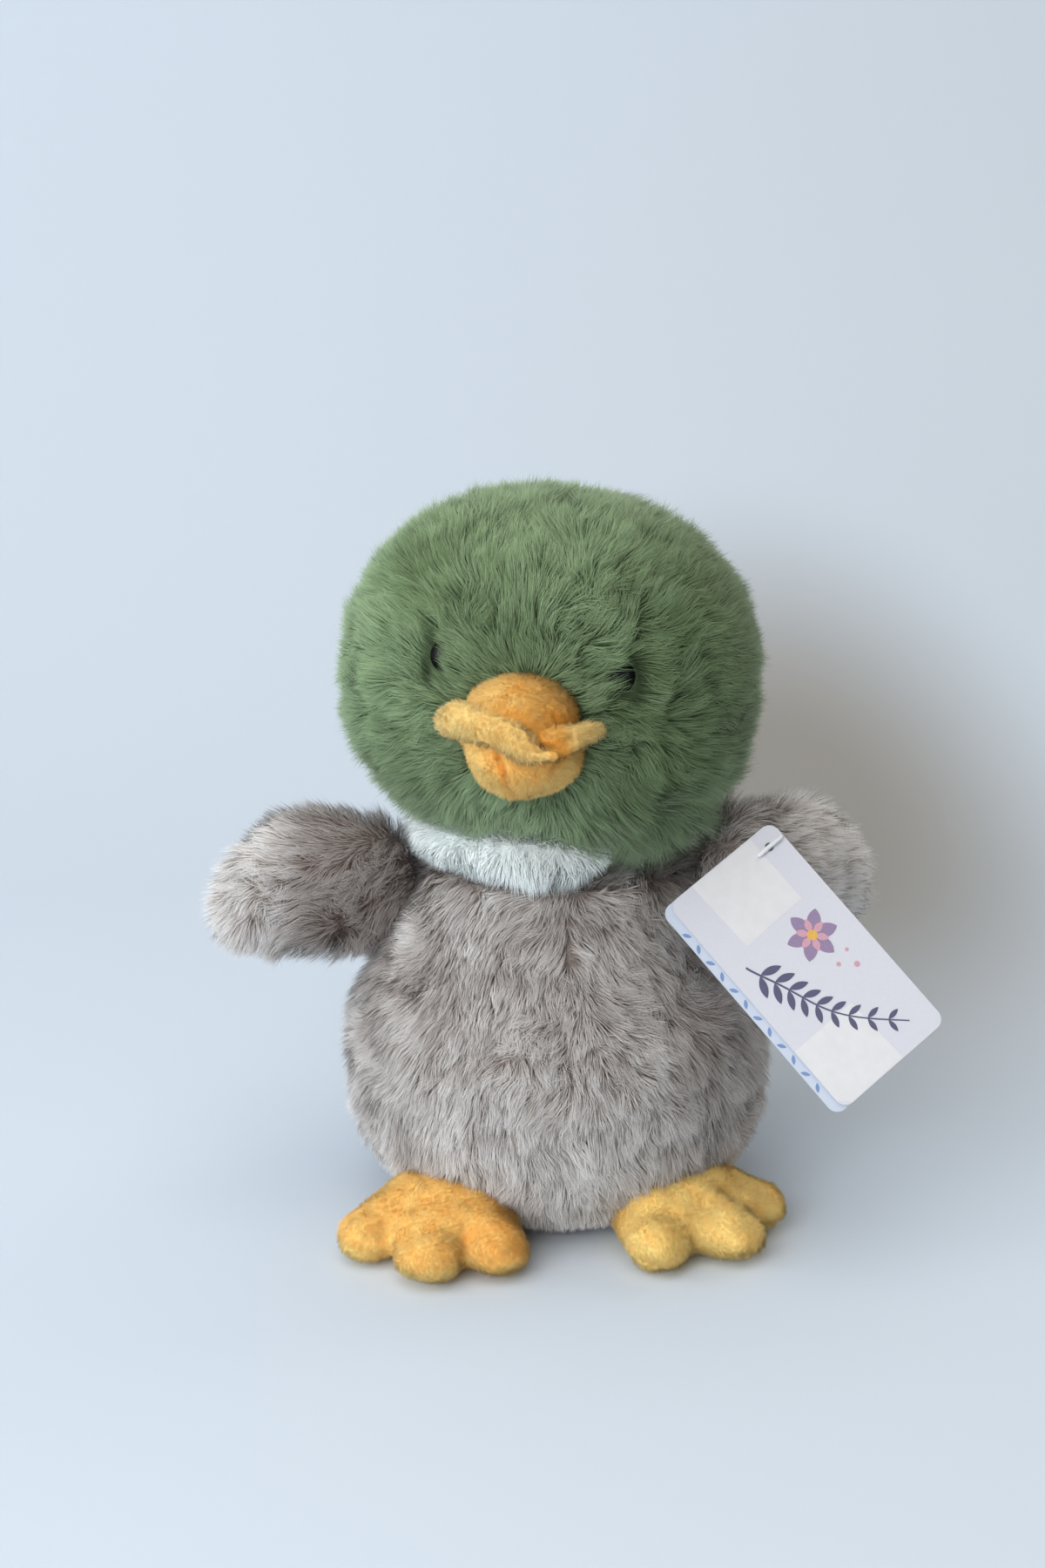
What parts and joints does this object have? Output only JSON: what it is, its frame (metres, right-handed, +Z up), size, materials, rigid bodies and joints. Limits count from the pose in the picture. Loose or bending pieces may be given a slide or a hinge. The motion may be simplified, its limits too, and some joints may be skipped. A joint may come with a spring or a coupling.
{
  "type": "plush duck",
  "caption": "Seated plush duck with a round pile head, white collar, padded bill, soft wings, webbed feet, a small tail and a hanging card tag; head, wings, feet and tag turn on hinges.",
  "frame": {"origin": "on the ground, at the middle of the flat cut under the seat", "axes": "+Z up through the head, -Y the way the bill and belly face, +X towards the duck's own left wing"},
  "size_m": [0.1931, 0.1453, 0.1992],
  "materials": {
    "green_pile": "long soft pile, 8 mm, sage green",
    "grey_pile": "long soft pile, 8 mm on the body and 6 mm on the wings, grey with a taupe root",
    "white_pile": "long soft white pile",
    "orange_minky": "short dense brushed pile, 2 mm, yellow orange",
    "polyester_fill": "polyester fibre filling",
    "pouch_cloth": "woven cloth around plastic pellets",
    "black_plastic": "polished black",
    "washer_plastic": "natural moulded plastic",
    "white_card": "coated white card, satin",
    "clear_nylon": "clear moulded nylon",
    "satin_ribbon": "blank white satin ribbon"
  },
  "bodies": {
    "body": {"body_front_left": "grey_pile", "body_front_right": "grey_pile", "body_back": "grey_pile", "body_base": "grey_pile", "pellet_pouch": "pouch_cloth", "body_stuffing": "polyester_fill", "collar": "white_pile", "tail_top": "grey_pile", "tail_bottom": "grey_pile", "care_label": "satin_ribbon"},
    "head": {"head_side_left": "green_pile", "head_side_right": "green_pile", "head_gusset": "green_pile", "head_stuffing": "polyester_fill", "eye_left": "black_plastic", "eye_right": "black_plastic", "eye_washer_left": "washer_plastic", "eye_washer_right": "washer_plastic", "bill_upper_cover": "orange_minky", "bill_upper_stuffing": "polyester_fill", "bill_lower_cover": "orange_minky", "bill_lower_stuffing": "polyester_fill"},
    "wing_left": {"wing_left_front": "grey_pile", "wing_left_back": "grey_pile", "wing_left_stuffing": "polyester_fill", "tag_fastener": "clear_nylon"},
    "wing_right": {"wing_right_front": "grey_pile", "wing_right_back": "grey_pile", "wing_right_stuffing": "polyester_fill"},
    "foot_left": {"foot_left_upper": "orange_minky", "foot_left_sole": "orange_minky", "foot_left_stuffing": "polyester_fill"},
    "foot_right": {"foot_right_upper": "orange_minky", "foot_right_sole": "orange_minky", "foot_right_stuffing": "polyester_fill"},
    "tag": {"swing_tag": "white_card"}
  },
  "joints": [
    {"name": "head_turn", "type": "hinge", "parent": "body", "child": "head", "pos_m": [-0.0055, -0.004, 0.1099], "axis": [0, 0, 1], "range_deg": [-30, 30], "stiffness_Nm_per_rad": 0.3},
    {"name": "wing_left_raise", "type": "hinge", "parent": "body", "child": "wing_left", "pos_m": [0.047, -0.004, 0.085], "axis": [0, -1, 0], "range_deg": [-20, 15], "stiffness_Nm_per_rad": 0.08},
    {"name": "wing_right_raise", "type": "hinge", "parent": "body", "child": "wing_right", "pos_m": [-0.047, -0.004, 0.085], "axis": [0, 1, 0], "range_deg": [-20, 15], "stiffness_Nm_per_rad": 0.08},
    {"name": "foot_left_droop", "type": "hinge", "parent": "body", "child": "foot_left", "pos_m": [0.01847, -0.01858, 0.0005], "axis": [0.7431, 0.6691, 0], "range_deg": [0, 35], "stiffness_Nm_per_rad": 0.1, "springref_deg": -5.73},
    {"name": "foot_right_droop", "type": "hinge", "parent": "body", "child": "foot_right", "pos_m": [-0.02651, -0.02076, 0.0005], "axis": [0.9781, -0.2079, 0], "range_deg": [0, 35], "stiffness_Nm_per_rad": 0.1, "springref_deg": -5.73},
    {"name": "tag_swing", "type": "hinge", "parent": "wing_left", "child": "tag", "pos_m": [0.0547, -0.0243, 0.1059], "axis": [0.0886, -0.8434, 0.5299], "range_deg": [-12, 60]}
  ]
}
